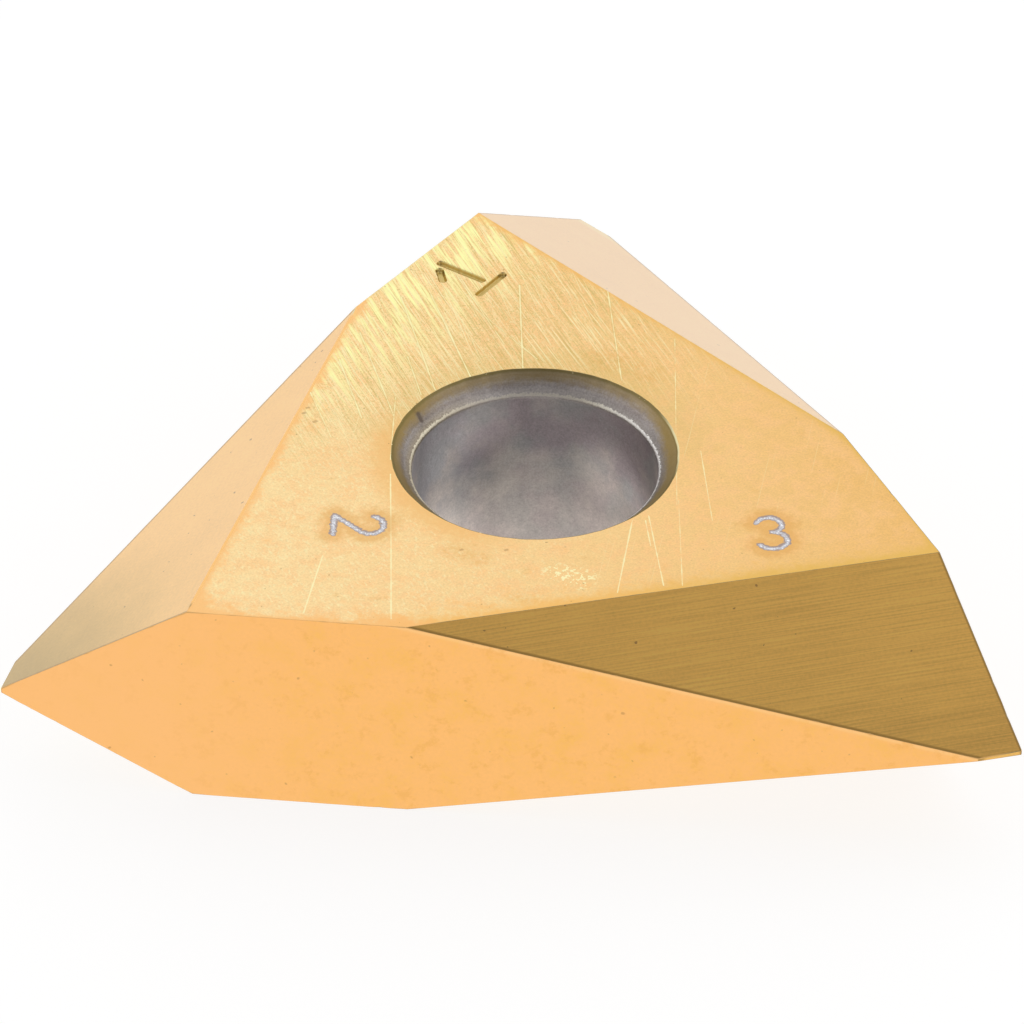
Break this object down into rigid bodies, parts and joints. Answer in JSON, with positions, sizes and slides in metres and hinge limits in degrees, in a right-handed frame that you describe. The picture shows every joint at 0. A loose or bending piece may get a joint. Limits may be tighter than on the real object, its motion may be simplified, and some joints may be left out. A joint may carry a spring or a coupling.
{
  "type": "carbide insert",
  "caption": "Triangular on-edge threading insert with a V-profile tip ground at every corner, gold coated, with a chamfered through bore for its clamping screw.",
  "frame": {"origin": "on the bore axis, half way between the two seating faces", "axes": "+Z along the bore, out of the seating face that shows; the first rake face is square to Y and faces -Y, and its V tip points to -X"},
  "size_m": [0.0208, 0.0182, 0.0048],
  "materials": {
    "coated_carbide": "satin gold titanium nitride coating on ground cemented carbide"
  },
  "bodies": {
    "root": {"insert_body": "coated_carbide"}
  },
  "joints": []
}
